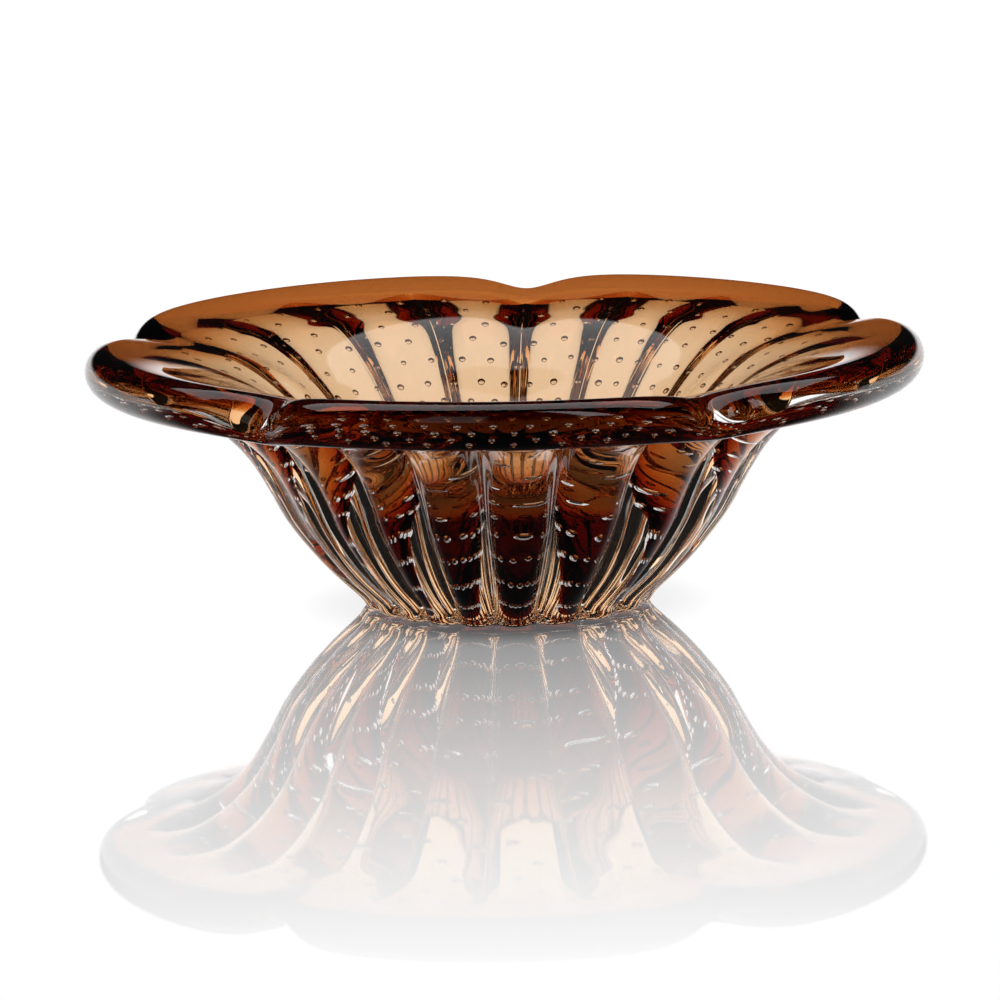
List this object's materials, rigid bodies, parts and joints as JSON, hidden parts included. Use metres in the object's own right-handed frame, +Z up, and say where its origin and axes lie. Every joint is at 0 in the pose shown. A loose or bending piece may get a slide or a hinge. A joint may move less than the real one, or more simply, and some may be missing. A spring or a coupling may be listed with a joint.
{
  "type": "art glass bowl",
  "caption": "Thick flared art glass bowl with a five-lobed rim: an amber lining cased in clear glass with twenty rounded ribs, and rows of small bubbles between.",
  "frame": {"origin": "the bowl's axis where it meets the surface that the foot stands on", "axes": "+Z up along the bowl's axis, towards the open mouth; -Y towards the middle of one of the five lobes, which is the front"},
  "size_m": [0.2978, 0.2975, 0.0968],
  "materials": {
    "amber_glass": "gloss",
    "clear_glass": "gloss"
  },
  "bodies": {
    "root": {"amber_lining": "amber_glass", "clear_casing": "clear_glass"}
  },
  "joints": []
}
